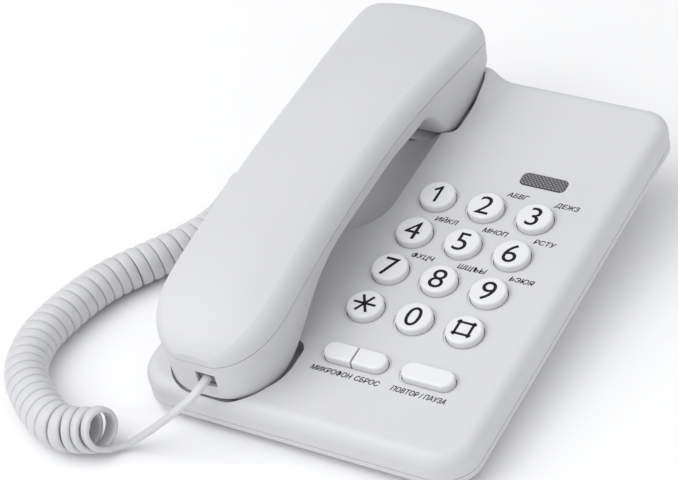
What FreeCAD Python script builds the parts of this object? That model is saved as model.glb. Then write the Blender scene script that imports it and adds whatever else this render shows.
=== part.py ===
import FreeCAD, Part
import os
from math import acos, ceil, cos, pi, radians, sin, sqrt, tan

# Corded desk telephone: wedge base with keypad, handset in its cradle, curly cord.
# Millimetres. World frame: +Z up, +Y to the back, +X to the right, origin on the table
# under the middle of the phone. The base face is flat and tilted, so the base, the
# keys and the handset are drawn in the face frame (x right, y back along the face,
# n square to the face, n = 0 on the face) and turned into the world frame at the end.

V = FreeCAD.Vector

# Driving dimensions: base
BASE_W = 133.0
BASE_L = 185.0
FRONT_CORNER_R = 14.0
BACK_CORNER_R = 10.0
FACE_TILT = 6.0
FACE_FRONT_H = 18.0
RIM_H = 10.4
RIM_EDGE_R = 5.0
SHELL_WALL = 2.4
COVER_LIP_H = 2.5
COVER_WALL = 2.0
COVER_SLOPE = 0.82
PARTING_GAP = 0.3
FIT_GAP = 0.3

# Driving dimensions: cradle
MOUND_H = 7.0
MOUND_FOOT_X = -0.5
MOUND_TOP_X = -12.0
MOUND_START_Y = 70.0
SCOOP_R = 30.0
SCOOP_DEPTH = 9.0
SCOOP_FRONT_Y = -5.0
EAR_WELL_FRONT_Y = 56.5
EAR_WELL_BACK_Y = 88.6
EAR_WELL_R = 5.0
MIC_WELL_R = 20.0
MIC_WELL_FRONT_Y = -88.6
MIC_WELL_BACK_Y = -57.0
WELL_GAP = 0.9
SEAT_GAP = 0.3

# Driving dimensions: keys
KEYPAD_X = 20.5
KEYPAD_Y = -6.2
KEY_PITCH_X = 20.0
KEY_PITCH_Y = 19.56
KEY_D = 13.7
KEY_PROUD = 2.6
KEY_EDGE_R = 1.0
KEY_RING_D = 16.0
KEY_RING_DEPTH = 0.35
KEY_FLANGE = 1.3
KEY_FLANGE_T = 1.2
KEY_TRAVEL = 1.5
FUNCTION_Y = -58.8
FUNCTION_W = 8.0
PAIR_X = 8.9
PAIR_L = 24.9
PAIR_SPLIT = 0.8
SINGLE_X = 37.8
SINGLE_L = 20.4

# Driving dimensions: inside the base
MEMBRANE_T = 1.0
MEMBRANE_EDGE = 8.0
DOME_D = 8.0
DOME_H = 0.9
BOARD_T = 1.6
BOARD_LEFT_X = -6.2
BOARD_RIGHT_X = 58.0
BOARD_FRONT_Y = -70.0
BOARD_BACK_Y = 62.0
BOSS_D = 7.0
SCREW_D = 2.9
SCREW_HEAD_D = 5.6
SCREW_HEAD_T = 1.8
SCREW_BITE = 7.0
SCREW_CROSS_W = 0.8
HEAD_ROOM = 0.8
HEAD_FLOOR_T = 2.5
CASE_SPIGOT = 0.7
SIDE_SCREW_INSET = 12.5
LEFT_SCREW_Y = -31.5
FRONT_SCREW_Y = -76.0
BACK_SCREW_Y = 79.5
MIDDLE_SCREW_X = -2.8
BOARD_SCREW_X = 10.5
BOARD_SCREW_Y = -47.2
BOARD_SCREW_INSET = 10.0
BOARD_BACK_INSET = 6.0
SCREW_CLEARANCE = 0.05
LENS_X = 35.1
LENS_Y = 42.5
LENS_L = 18.0
LENS_W = 6.2
LENS_PROUD = 0.5
LENS_R = 2.0
LED_D = 5.0
RINGER_D = 24.0
RINGER_H = 7.0
RINGER_X = 25.0
RINGER_Y = 30.0
RINGER_HOLE_D = 2.2
RINGER_HOLE_RING_D = 12.0
RINGER_HOLES = 6
FOOT_D = 12.0
FOOT_PROUD = 2.0
FOOT_SUNK = 0.8
FOOT_X = 54.5
FOOT_FRONT_Y = -70.0
FOOT_BACK_Y = 62.0
KEYHOLE_PITCH = 83.0
KEYHOLE_HEAD_D = 8.4
KEYHOLE_SLOT_W = 4.4
KEYHOLE_SLOT_L = 8.0
KEYHOLE_X = 0.0
KEYHOLE_Y = 0.0

# Driving dimensions: hook switch
HOOK_X = -24.0
HOOK_PIVOT_Y = 40.0
HOOK_PIVOT_N = -19.0
HOOK_PAD_Y = 72.0
HOOK_PAD_L = 12.0
HOOK_W = 10.0
HOOK_ARM_T = 3.0
HOOK_PIN_D = 3.0
HOOK_PIN_L = 22.0
HOOK_SUNK = 0.4
HOOK_PIN_CLEARANCE = 0.05
HOOK_LUG_T = 3.0
HOOK_SPRING_D = 6.0
HOOK_SPRING_WIRE = 0.7
HOOK_SPRING_TURNS = 5
SWITCH_W = 6.0
SWITCH_L = 10.0

# Driving dimensions: sockets and slide switches
LINE_JACK_X = 24.0
LINE_MOUTH_W = 10.0
LINE_MOUTH_H = 6.6
LINE_MOUTH_DEPTH = 11.0
JACK_WALL = 1.6
CORD_JACK_Y = -20.0
CORD_MOUTH_W = 8.0
CORD_MOUTH_H = 6.0
CORD_MOUTH_DEPTH = 11.0
JACK_N = -7.0
SWITCH_SLOT_L = 10.0
SWITCH_SLOT_H = 3.4
SWITCH_KNOB_L = 5.0
SWITCH_KNOB_PROUD = 1.6
SWITCH_WALL = 1.3
SWITCH_BODY_L = 5.0
SWITCH_THROW = 4.0
VOLUME_X = 46.0
TONE_X = 6.0

# Driving dimensions: handset
HANDSET_X = -35.8
HANDSET_MIC_Y = -91.5
HANDSET_EAR_Y = 97.0
GRIP_HALF_W = 23.6
GRIP_SHARE = 0.2
FLARE_SHARE = 0.75
EAR_HALF_W = 26.6
MIC_HALF_W = 24.6
PARTING_MID_N = 26.2
PARTING_DROP = 9.5
DOME_MIC_H = 12.6
DOME_EAR_H = 10.2
MIC_END_L = 32.0
EAR_END_L = 14.0
MIC_SQUARENESS = 2.4
EAR_SQUARENESS = 4.0
END_REACH = 0.975
GRIP_DEPTH = 10.6
EAR_BLOCK_N = -5.0
MIC_BLOCK_N = -5.6
MIC_NOSE_RISE = 9.0
EAR_BLOCK_FRONT_Y = 47.0
EAR_BLOCK_RAMP = 14.0
EAR_BLOCK_BACK_Y = 84.0
EAR_HEEL_Y = 86.5
EAR_HEEL_N = 6.0
EAR_HEEL_SLOPE = 0.38
MIC_BLOCK_BACK_Y = -28.0
MIC_BLOCK_RAMP = 50.0
DOME_SIDE_SHARE = 0.62
DOME_SIDE_TURN = 66.0
DOME_FOOT_SHARE = 0.18
LOWER_EDGE_R = 5.0
END_EDGE_SHARE = 0.35
LOWER_DRAFT = 1.6
HANDSET_WALL = 2.2
RECEIVER_D = 22.0
RECEIVER_H = 6.0
RECEIVER_Y = 70.4
EAR_HOLE_D = 2.4
EAR_HOLE_RING_D = 12.0
EAR_HOLES = 6
MIC_D = 9.7
MIC_H = 5.0
MIC_Y = -66.0
MIC_HOLE_D = 2.0
MIC_CUP_WALL = 1.8
WEIGHT_L = 68.0
WEIGHT_W = 24.0
WEIGHT_T = 5.0
NOTCH_X = -32.2
NOTCH_N = 9.6
NOTCH_SUNK = 1.0
HANDSET_SCREW_Y = (-46.0, 36.0)

# Driving dimensions: cord
WIRE_D = 2.3
CURL_D_BASE = 13.6
CURL_D_HANDSET = 15.4
CURL_PITCH = 4.2
CURL_END_LEAN = 35.0
CURL_END_TURNS = 4.0
PLUG_PROUD = 3.0
PLUG_CHAMFER = 0.6
TAIL_START_L = 4.0
TAIL_EXIT_L = 8.0
BEND_SHARE = 0.45

# Worked out from the driving dimensions
TILT = radians(FACE_TILT)
FACE_Z0 = FACE_FRONT_H + BASE_L / 2 * sin(TILT)
HANDSET_MID_Y = (HANDSET_MIC_Y + HANDSET_EAR_Y) / 2
HANDSET_HALF_L = (HANDSET_EAR_Y - HANDSET_MIC_Y) / 2
FLANGE_TOP_N = -SHELL_WALL - FIT_GAP
FLANGE_LOW_N = FLANGE_TOP_N - KEY_FLANGE_T
MEMBRANE_TOP_N = FLANGE_LOW_N - KEY_TRAVEL - DOME_H - FIT_GAP
BOARD_TOP_N = MEMBRANE_TOP_N - MEMBRANE_T
BOARD_LOW_N = BOARD_TOP_N - BOARD_T
COVER_TOP_N = -RIM_H - PARTING_GAP
COVER_LIP_N = COVER_TOP_N - COVER_LIP_H
SCREW_HOLE_D = SCREW_D + 2 * SCREW_CLEARANCE
EAR_SEAT_N = EAR_BLOCK_N - SEAT_GAP
MIC_SEAT_N = MIC_BLOCK_N - SEAT_GAP
ROOF_N = -SHELL_WALL
CASE_JOINT_N = COVER_TOP_N - CASE_SPIGOT
HEAD_SEAT_N = CASE_JOINT_N - HEAD_FLOOR_T
HEAD_WELL_D = SCREW_HEAD_D + HEAD_ROOM
SIDE_SCREW_X = BASE_W / 2 - SIDE_SCREW_INSET
CASE_SCREWS = [
    (-SIDE_SCREW_X, LEFT_SCREW_Y),
    (SIDE_SCREW_X, FRONT_SCREW_Y),
    (MIDDLE_SCREW_X, BACK_SCREW_Y),
    (SIDE_SCREW_X, BACK_SCREW_Y),
]
BOARD_SCREWS = [
    (BOARD_SCREW_X, BOARD_SCREW_Y),
    (SIDE_SCREW_X, BOARD_FRONT_Y + BOARD_SCREW_INSET),
    (MIDDLE_SCREW_X, BOARD_BACK_Y - BOARD_BACK_INSET),
    (SIDE_SCREW_X, BOARD_BACK_Y - BOARD_BACK_INSET),
]


# Small helpers
def smooth(t):
    t = min(max(t, 0.0), 1.0)
    return t * t * (3 - 2 * t)


def cylinder(x, y, n, d, h):
    return Part.makeCylinder(d / 2, h, V(x, y, n))


def box(x0, x1, y0, y1, n0, n1):
    return Part.makeBox(x1 - x0, y1 - y0, n1 - n0, V(x0, y0, n0))


def fuse(first, others):
    return first.fuse(others).removeSplitter()


def outline(half_w, front, back, r_front, r_back, n, middle_x=0.0):
    """Rounded rectangle as one closed wire at height n."""
    left = middle_x - half_w
    right = middle_x + half_w
    corners = [
        (right, front, r_front, -1, 1),
        (right, back, r_back, -1, -1),
        (left, back, r_back, 1, -1),
        (left, front, r_front, 1, 1),
    ]
    edges = []
    ends = []
    for i, (x, y, r, sx, sy) in enumerate(corners):
        along_x = V(x + sx * r, y, n)
        along_y = V(x, y + sy * r, n)
        bend = V(x + sx * r * (1 - sqrt(0.5)), y + sy * r * (1 - sqrt(0.5)), n)
        first, last = (along_x, along_y) if i % 2 == 0 else (along_y, along_x)
        ends.append((first, bend, last))
    for i in range(4):
        first, bend, last = ends[i]
        edges.append(Part.Arc(first, bend, last).toShape())
        edges.append(Part.LineSegment(last, ends[(i + 1) % 4][0]).toShape())
    return Part.Wire(edges)


def base_outline(inset, n):
    return outline(
        BASE_W / 2 - inset,
        -BASE_L / 2 + inset,
        BASE_L / 2 - inset,
        max(FRONT_CORNER_R - inset, 1.0),
        max(BACK_CORNER_R - inset, 1.0),
        n,
    )


def prism(wire, height):
    return Part.Face(wire).extrude(V(0, 0, height))


def capsule(x, y, length, width, n0, n1):
    """Upright prism with round ends along x."""
    wire = outline(length / 2, y - width / 2, y + width / 2, width / 2 - 0.01, width / 2 - 0.01, n0, x)
    return prism(wire, n1 - n0)


def to_world(shape):
    """Turn a shape from the face frame into the world frame."""
    placed = shape.copy()
    placed.rotate(V(0, 0, 0), V(1, 0, 0), FACE_TILT)
    placed.translate(V(0, 0, FACE_Z0))
    return placed


def world_point(x, y, n):
    return V(x, y * cos(TILT) - n * sin(TILT), FACE_Z0 + y * sin(TILT) + n * cos(TILT))


def world_vector(x, y, n):
    return V(x, y * cos(TILT) - n * sin(TILT), y * sin(TILT) + n * cos(TILT))


# Handset form: sections across the length, worked out from its main sizes
def parting_n(y):
    return PARTING_MID_N - PARTING_DROP * ((y - HANDSET_MID_Y) / HANDSET_HALF_L) ** 2


def handset_half_w(y):
    grip = GRIP_SHARE * HANDSET_HALF_L
    flare = FLARE_SHARE * HANDSET_HALF_L
    ear = smooth((y - HANDSET_MID_Y - grip) / flare)
    mic = smooth((HANDSET_MID_Y - grip - y) / flare)
    return GRIP_HALF_W + (EAR_HALF_W - GRIP_HALF_W) * ear + (MIC_HALF_W - GRIP_HALF_W) * mic


def end_share(y, inset):
    """How full the handset is at y: 1 along the grip, falling round both ends."""
    if y > HANDSET_MID_Y:
        zone = EAR_END_L - inset
        power = EAR_SQUARENESS
        u = (y - (HANDSET_EAR_Y - EAR_END_L)) / zone
    else:
        zone = MIC_END_L - inset
        power = MIC_SQUARENESS
        u = ((HANDSET_MIC_Y + MIC_END_L) - y) / zone
    u = min(max(u, 0.0), 1.0) * END_REACH
    return (1 - u ** power) ** (1 / power)


def dome_h(y):
    """Height of the crown over the parting line, lower at the ear end."""
    share = (y - HANDSET_MIC_Y) / (HANDSET_EAR_Y - HANDSET_MIC_Y)
    return DOME_MIC_H + (DOME_EAR_H - DOME_MIC_H) * share


def bottom_n(y, inset):
    """Underside of the handset: grip in the middle, a block at each end."""
    grip = parting_n(y) - GRIP_DEPTH
    ear = smooth((y - EAR_BLOCK_FRONT_Y) / EAR_BLOCK_RAMP)
    mic = smooth((MIC_BLOCK_BACK_Y - y) / MIC_BLOCK_RAMP)
    low = grip + (EAR_BLOCK_N - grip) * ear + (MIC_BLOCK_N - grip) * mic
    if y < HANDSET_MID_Y:
        low += MIC_NOSE_RISE * (1 - end_share(y, inset))
    return low + inset


def stations(inset):
    """Places along the handset where its section is drawn, closer together at the ends."""
    shares = [0.0, 0.3, 0.52, 0.7, 0.84, 0.94, 1.0]
    mic_zone = MIC_END_L - inset
    ear_zone = EAR_END_L - inset
    mic_start = HANDSET_MIC_Y + MIC_END_L
    ear_start = HANDSET_EAR_Y - EAR_END_L
    front = [mic_start - s * mic_zone for s in reversed(shares)]
    back = [ear_start + s * ear_zone for s in shares]
    ramp = [EAR_BLOCK_FRONT_Y + EAR_BLOCK_RAMP * s for s in (-0.3, 0.0, 0.25, 0.5, 0.75, 1.0, 1.8)]
    first = front[-1]
    grip = [first + (ramp[0] - first) * s / 6 for s in range(1, 6)]
    middle = [y for y in grip + ramp if y < ear_start - 1.0]
    return front + middle + back


def upper_section(y, inset, seat):
    """Arch over the parting line: two side arcs and a flatter crown arc."""
    share = end_share(y, inset)
    half = (handset_half_w(y) - inset) * share
    rise = (dome_h(y) - inset) * share
    low = parting_n(y) + seat
    top = parting_n(y) + rise
    side_r = DOME_SIDE_SHARE * rise
    crown = V(HANDSET_X, y, top)
    turn = radians(DOME_SIDE_TURN)
    left = []
    for s in (-1, 1):
        centre = V(HANDSET_X + s * (half - side_r), y, low - seat + DOME_FOOT_SHARE * rise)
        foot = V(HANDSET_X + s * half, y, centre.z)
        mid = centre + V(s * side_r * cos(turn / 2), 0, side_r * sin(turn / 2))
        head = centre + V(s * side_r * cos(turn), 0, side_r * sin(turn))
        left.append((V(HANDSET_X + s * half, y, low), foot, mid, head))
    (a0, a1, a2, a3), (b0, b1, b2, b3) = left
    edges = [
        Part.LineSegment(a0, a1).toShape(),
        Part.Arc(a1, a2, a3).toShape(),
        Part.Arc(a3, crown, b3).toShape(),
        Part.Arc(b3, b2, b1).toShape(),
        Part.LineSegment(b1, b0).toShape(),
        Part.LineSegment(b0, a0).toShape(),
    ]
    return Part.Wire(edges)


def lower_section(y, inset, seat):
    """Trough under the parting line: drafted sides and rounded lower edges."""
    share = end_share(y, inset)
    half = (handset_half_w(y) - inset) * share
    top = parting_n(y) - seat
    low = bottom_n(y, inset)
    foot = half - LOWER_DRAFT * share
    r = max(LOWER_EDGE_R - inset, 1.0) * (END_EDGE_SHARE + (1 - END_EDGE_SHARE) * share)
    sides = []
    for s in (-1, 1):
        centre = V(HANDSET_X + s * (foot - r), y, low + r)
        side = V(HANDSET_X + s * foot, y, low + r)
        bend = centre + V(s * r * sqrt(0.5), 0, -r * sqrt(0.5))
        floor = V(HANDSET_X + s * (foot - r), y, low)
        sides.append((V(HANDSET_X + s * half, y, top), side, bend, floor))
    (a0, a1, a2, a3), (b0, b1, b2, b3) = sides
    edges = [
        Part.LineSegment(a0, a1).toShape(),
        Part.Arc(a1, a2, a3).toShape(),
        Part.LineSegment(a3, b3).toShape(),
        Part.Arc(b3, b2, b1).toShape(),
        Part.LineSegment(b1, b0).toShape(),
        Part.LineSegment(b0, a0).toShape(),
    ]
    return Part.Wire(edges)


def ear_heel(inset):
    """What is taken off under the ear end, behind its block."""
    far = BASE_L
    behind = HANDSET_EAR_Y + EAR_END_L
    heel_n = EAR_HEEL_N + inset
    corners = [
        V(HANDSET_X - far, EAR_BLOCK_BACK_Y - inset, -far),
        V(HANDSET_X - far, EAR_BLOCK_BACK_Y - inset, EAR_BLOCK_N),
        V(HANDSET_X - far, EAR_HEEL_Y - inset, heel_n),
        V(HANDSET_X - far, behind, heel_n + EAR_HEEL_SLOPE * (behind - EAR_HEEL_Y)),
        V(HANDSET_X - far, behind, -far),
    ]
    return Part.Face(Part.makePolygon(corners + corners[:1])).extrude(V(2 * far, 0, 0))


def upper_body(inset, seat):
    return Part.makeLoft([upper_section(y, inset, seat) for y in stations(inset)], True, False)


def lower_body(inset, seat):
    block = Part.makeLoft([lower_section(y, inset, seat) for y in stations(inset)], True, False)
    return block.cut(ear_heel(inset))


parts = {}


def to_face(shape):
    """Turn a shape from the world frame into the face frame."""
    placed = shape.copy()
    placed.translate(V(0, 0, -FACE_Z0))
    placed.rotate(V(0, 0, 0), V(1, 0, 0), -FACE_TILT)
    return placed


# Base top shell: flat face, cradle mound at the back left, wells, scoop, key holes
def face_section(y, drop):
    """Section across the base: flat face on the right, rising to the mound on the left."""
    far = BASE_W / 2 + RIM_EDGE_R
    low = -BASE_L / 4
    rise = MOUND_H * smooth((y - MOUND_START_Y) / (BASE_L / 2 - MOUND_START_Y)) - drop
    lean = (MOUND_FOOT_X - MOUND_TOP_X) / 2
    curve = Part.BezierCurve()
    curve.setPoles([
        V(MOUND_FOOT_X, y, -drop),
        V(MOUND_FOOT_X - lean, y, -drop),
        V(MOUND_TOP_X + lean, y, rise),
        V(MOUND_TOP_X, y, rise),
    ])
    edges = [
        Part.LineSegment(V(far, y, low), V(far, y, -drop)).toShape(),
        Part.LineSegment(V(far, y, -drop), V(MOUND_FOOT_X, y, -drop)).toShape(),
        curve.toShape(),
        Part.LineSegment(V(MOUND_TOP_X, y, rise), V(-far, y, rise)).toShape(),
        Part.LineSegment(V(-far, y, rise), V(-far, y, low)).toShape(),
        Part.LineSegment(V(-far, y, low), V(far, y, low)).toShape(),
    ]
    return Part.Wire(edges)


def face_block(drop):
    far = BASE_W / 2 + RIM_EDGE_R
    back = BASE_L / 2
    steps = [MOUND_START_Y + (back - MOUND_START_Y) * s for s in (0.2, 0.4, 0.6, 0.8, 1.0)]
    level = box(-far, far, -back, MOUND_START_Y, -BASE_L / 4, -drop)
    mound = Part.makeLoft([face_section(y, drop) for y in [MOUND_START_Y] + steps], True, False)
    return level.fuse(mound)


def base_body(inset, drop, low):
    walls = prism(base_outline(inset, low), RIM_H + MOUND_H + BASE_L / 4)
    return face_block(drop).common(walls).removeSplitter()


def top_edges(shape, low):
    """Edges where the base face meets the outer walls."""
    inner = Part.Face(base_outline(0.05, 0))
    found = []
    for edge in shape.Edges:
        on_wall = edge.BoundBox.ZLength < MOUND_H
        for t in (0.1, 0.5, 0.9):
            p = edge.valueAt(edge.FirstParameter + t * (edge.LastParameter - edge.FirstParameter))
            on_wall = on_wall and p.z > low and not inner.isInside(V(p.x, p.y, 0), 0.001, True)
        if on_wall:
            found.append(edge)
    return found


def ear_well(grow, low, high):
    half = handset_half_w(EAR_WELL_BACK_Y) - LOWER_DRAFT / 2 + WELL_GAP + grow
    wire = outline(
        half,
        EAR_WELL_FRONT_Y - grow,
        EAR_WELL_BACK_Y + grow,
        EAR_WELL_R + grow,
        EAR_WELL_R + grow,
        low,
        HANDSET_X,
    )
    return prism(wire, high - low)


def mic_well(grow, low, high):
    half = handset_half_w(MIC_WELL_BACK_Y) - LOWER_DRAFT / 2 + WELL_GAP + grow
    wire = outline(
        half, MIC_WELL_FRONT_Y - grow, MIC_WELL_BACK_Y + grow,
        MIC_WELL_R + grow, EAR_WELL_R + grow, low, HANDSET_X)
    return prism(wire, high - low)


def finger_scoop(grow):
    """Trough under the grip with a round front end."""
    axis_n = SCOOP_R - SCOOP_DEPTH
    reach = sqrt(SCOOP_R ** 2 - axis_n ** 2)
    start = SCOOP_FRONT_Y + reach
    ball = Part.makeSphere(SCOOP_R + grow, V(HANDSET_X, start, axis_n))
    length = EAR_WELL_FRONT_Y - start
    tube = Part.makeCylinder(SCOOP_R + grow, length, V(HANDSET_X, start, axis_n), V(0, 1, 0))
    return ball.fuse(tube)


key_places = []
key_names = ["1", "2", "3", "4", "5", "6", "7", "8", "9", "star", "0", "hash"]
for i, label in enumerate(key_names):
    column = i % 3 - 1
    row = 1.5 - i // 3
    key_places.append((label, KEYPAD_X + column * KEY_PITCH_X, KEYPAD_Y + row * KEY_PITCH_Y))


def function_key(x, length, grow, n0, n1):
    return capsule(x, FUNCTION_Y, length + 2 * grow, FUNCTION_W + 2 * grow, n0, n1)


def half_space_x(x, side):
    far = BASE_W
    return box(x, x + far, -far, far, -far, far) if side > 0 else box(x - far, x, -far, far, -far, far)


outer = base_body(0.0, 0.0, -RIM_H)
outer = outer.makeFillet(RIM_EDGE_R, top_edges(outer, -RIM_H / 2))
hollow = base_body(SHELL_WALL, SHELL_WALL, -2 * RIM_H)
linings = [
    ear_well(SHELL_WALL, EAR_SEAT_N - SHELL_WALL, 2 * MOUND_H),
    mic_well(SHELL_WALL, MIC_SEAT_N - SHELL_WALL, 2 * MOUND_H),
    finger_scoop(SHELL_WALL),
    lower_body(-WELL_GAP - SHELL_WALL, 0.0),
]
shell = outer.cut(hollow)
skirt = outer.fuse(prism(base_outline(SHELL_WALL / 2, -RIM_H - SHELL_WALL), SHELL_WALL + RIM_H / 2))
posts = []
for x, y in CASE_SCREWS:
    posts.append(cylinder(x, y, CASE_JOINT_N, BOSS_D, MOUND_H - CASE_JOINT_N).common(skirt))
for x, y in BOARD_SCREWS:
    posts.append(cylinder(x, y, BOARD_TOP_N, BOSS_D, ROOF_N - BOARD_TOP_N))
lug_x = HOOK_W / 2 + FIT_GAP
for side in (-1, 1):
    near = HOOK_X + side * lug_x
    far = HOOK_X + side * (lug_x + HOOK_LUG_T)
    posts.append(box(
        min(near, far), max(near, far),
        HOOK_PIVOT_Y - HOOK_PIN_D, HOOK_PIVOT_Y + HOOK_PIN_D,
        HOOK_PIVOT_N - HOOK_PIN_D, ROOF_N - FIT_GAP,
    ))
lining = linings[0].fuse(linings[1:]).common(skirt)
shell = shell.fuse([lining] + posts)
cuts = [
    ear_well(0.0, EAR_SEAT_N, 2 * MOUND_H),
    mic_well(0.0, MIC_SEAT_N, 2 * MOUND_H),
    finger_scoop(0.0),
    lower_body(-WELL_GAP, 0.0),
]
for label, x, y in key_places:
    cuts.append(cylinder(x, y, ROOF_N - 1, KEY_D + 2 * FIT_GAP, SHELL_WALL + 2))
    cuts.append(cylinder(x, y, -KEY_RING_DEPTH, KEY_RING_D, 1))
for x, length in ((PAIR_X, PAIR_L), (SINGLE_X, SINGLE_L)):
    cuts.append(function_key(x, length, FIT_GAP, ROOF_N - 1, 1))
    cuts.append(function_key(x, length, (KEY_RING_D - KEY_D) / 2, -KEY_RING_DEPTH, 1))
for x, y in CASE_SCREWS:
    cuts.append(cylinder(x, y, CASE_JOINT_N - 1, SCREW_HOLE_D, SCREW_BITE + 1))
for x, y in BOARD_SCREWS:
    cuts.append(cylinder(x, y, BOARD_TOP_N - 1, SCREW_HOLE_D, ROOF_N - BOARD_TOP_N + 1))
lens_hole = outline(
    LENS_L / 2 + FIT_GAP,
    LENS_Y - LENS_W / 2 - FIT_GAP,
    LENS_Y + LENS_W / 2 + FIT_GAP,
    LENS_R + FIT_GAP,
    LENS_R + FIT_GAP,
    ROOF_N - 1,
    LENS_X,
)
cuts.append(prism(lens_hole, SHELL_WALL + 2))
shell = shell.cut(cuts)
cuts = []
wall_y = BASE_L / 2
line_mouth = (LINE_JACK_X - LINE_MOUTH_W / 2, LINE_JACK_X + LINE_MOUTH_W / 2)
line_mouth_n = (JACK_N - LINE_MOUTH_H / 2, JACK_N + LINE_MOUTH_H / 2)
line_cut = box(*line_mouth, wall_y - LINE_MOUTH_DEPTH - SHELL_WALL, wall_y + 1, *line_mouth_n)
cuts.append(line_cut)
cord_mouth_y = (CORD_JACK_Y - CORD_MOUTH_W / 2, CORD_JACK_Y + CORD_MOUTH_W / 2)
cord_mouth_n = (JACK_N - CORD_MOUTH_H / 2, JACK_N + CORD_MOUTH_H / 2)
wall_x = -BASE_W / 2
cord_cut = box(wall_x - 1, wall_x + SHELL_WALL + CORD_MOUTH_DEPTH, *cord_mouth_y, *cord_mouth_n)
cuts.append(cord_cut)
for x in (VOLUME_X, TONE_X):
    cuts.append(box(
        x - SWITCH_SLOT_L / 2, x + SWITCH_SLOT_L / 2,
        wall_y - SHELL_WALL - 1, wall_y + 1,
        JACK_N - SWITCH_SLOT_H / 2, JACK_N + SWITCH_SLOT_H / 2,
    ))
hook_slot = box(
    HOOK_X - HOOK_W / 2 - WELL_GAP, HOOK_X + HOOK_W / 2 + WELL_GAP,
    HOOK_PAD_Y - HOOK_PAD_L / 2 - WELL_GAP - 1, HOOK_PAD_Y + HOOK_PAD_L / 2 + WELL_GAP + 1,
    EAR_SEAT_N - 2 * SHELL_WALL - 1, EAR_SEAT_N + 1,
)
cuts.append(hook_slot)
hook_bore = HOOK_PIN_D + 2 * HOOK_PIN_CLEARANCE
cuts.append(Part.makeCylinder(
    hook_bore / 2, HOOK_PIN_L + 2, V(HOOK_X - HOOK_PIN_L / 2 - 1, HOOK_PIVOT_Y, HOOK_PIVOT_N), V(1, 0, 0)))
for opening in cuts:
    shell = shell.cut(opening)
print("shell", shell.isValid(), len(shell.Solids), round(shell.Volume))
parts["base_top_shell"] = shell

# Keys
for label, x, y in key_places:
    cap = cylinder(x, y, FLANGE_LOW_N, KEY_D, KEY_PROUD - FLANGE_LOW_N)
    rim = [e for e in cap.Edges if e.BoundBox.ZLength < 0.01 and e.BoundBox.ZMin > 0]
    cap = cap.makeFillet(KEY_EDGE_R, rim)
    parts["key_" + label] = fuse(cap, cylinder(x, y, FLANGE_LOW_N, KEY_D + 2 * KEY_FLANGE, KEY_FLANGE_T))


def capsule_key(x, length):
    cap = function_key(x, length, 0.0, FLANGE_LOW_N, KEY_PROUD)
    rim = [e for e in cap.Edges if e.BoundBox.ZLength < 0.01 and e.BoundBox.ZMin > 0]
    cap = cap.makeFillet(KEY_EDGE_R, rim)
    return fuse(cap, function_key(x, length, KEY_FLANGE, FLANGE_LOW_N, FLANGE_LOW_N + KEY_FLANGE_T))


pair = capsule_key(PAIR_X, PAIR_L)
parts["key_mute"] = pair.common(half_space_x(PAIR_X - PAIR_SPLIT / 2, -1))
parts["key_flash"] = pair.common(half_space_x(PAIR_X + PAIR_SPLIT / 2, 1))
parts["key_redial"] = capsule_key(SINGLE_X, SINGLE_L)

# Keypad membrane, board, lamp
sheet = box(
    KEYPAD_X - KEY_PITCH_X - MEMBRANE_EDGE, KEYPAD_X + KEY_PITCH_X + MEMBRANE_EDGE,
    FUNCTION_Y - MEMBRANE_EDGE, KEYPAD_Y + 1.5 * KEY_PITCH_Y + MEMBRANE_EDGE,
    BOARD_TOP_N, MEMBRANE_TOP_N,
)
domes = [Part.makeCone(DOME_D / 2, DOME_D / 3, DOME_H, V(x, y, MEMBRANE_TOP_N)) for label, x, y in key_places]
for x in (PAIR_X - PAIR_L / 4, PAIR_X + PAIR_L / 4, SINGLE_X):
    domes.append(Part.makeCone(DOME_D / 2, DOME_D / 3, DOME_H, V(x, FUNCTION_Y, MEMBRANE_TOP_N)))
post_holes = [cylinder(x, y, BOARD_TOP_N - 1, BOSS_D + 2 * FIT_GAP, MEMBRANE_T + 2) for x, y in BOARD_SCREWS]
parts["keypad_membrane"] = fuse(sheet, domes).cut(post_holes)
board = box(BOARD_LEFT_X, BOARD_RIGHT_X, BOARD_FRONT_Y, BOARD_BACK_Y, BOARD_LOW_N, BOARD_TOP_N)
parts["main_board"] = board.cut([
    cylinder(x, y, BOARD_LOW_N - 1, SCREW_HOLE_D, BOARD_T + 2) for x, y in BOARD_SCREWS
])


def screw(x, y, seat_n, length):
    """Round-headed screw with a cross recess, head down."""
    low = seat_n - SCREW_HEAD_T
    head = cylinder(x, y, low, SCREW_HEAD_D, SCREW_HEAD_T)
    rim = [e for e in head.Edges if e.BoundBox.ZMax < seat_n - FIT_GAP and e.BoundBox.ZLength < FIT_GAP]
    head = head.makeFillet(SCREW_HEAD_T / 3, rim)
    reach = SCREW_HEAD_D / 3
    half = SCREW_CROSS_W / 2
    top = seat_n - SCREW_HEAD_T / 2
    cross = [
        box(x - reach, x + reach, y - half, y + half, low - 1, top),
        box(x - half, x + half, y - reach, y + reach, low - 1, top),
    ]
    return fuse(head, [cylinder(x, y, top, SCREW_D, length + seat_n - top)]).cut(cross)


parts["board_screws"] = Part.Compound([
    screw(x, y, BOARD_LOW_N, ROOF_N - BOARD_LOW_N - FIT_GAP) for x, y in BOARD_SCREWS
])


def lens_prism(grow, n0, n1):
    half_l = LENS_L / 2 + grow
    half_w = LENS_W / 2 + grow
    return prism(outline(half_l, LENS_Y - half_w, LENS_Y + half_w, LENS_R, LENS_R, n0, LENS_X), n1 - n0)


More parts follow.
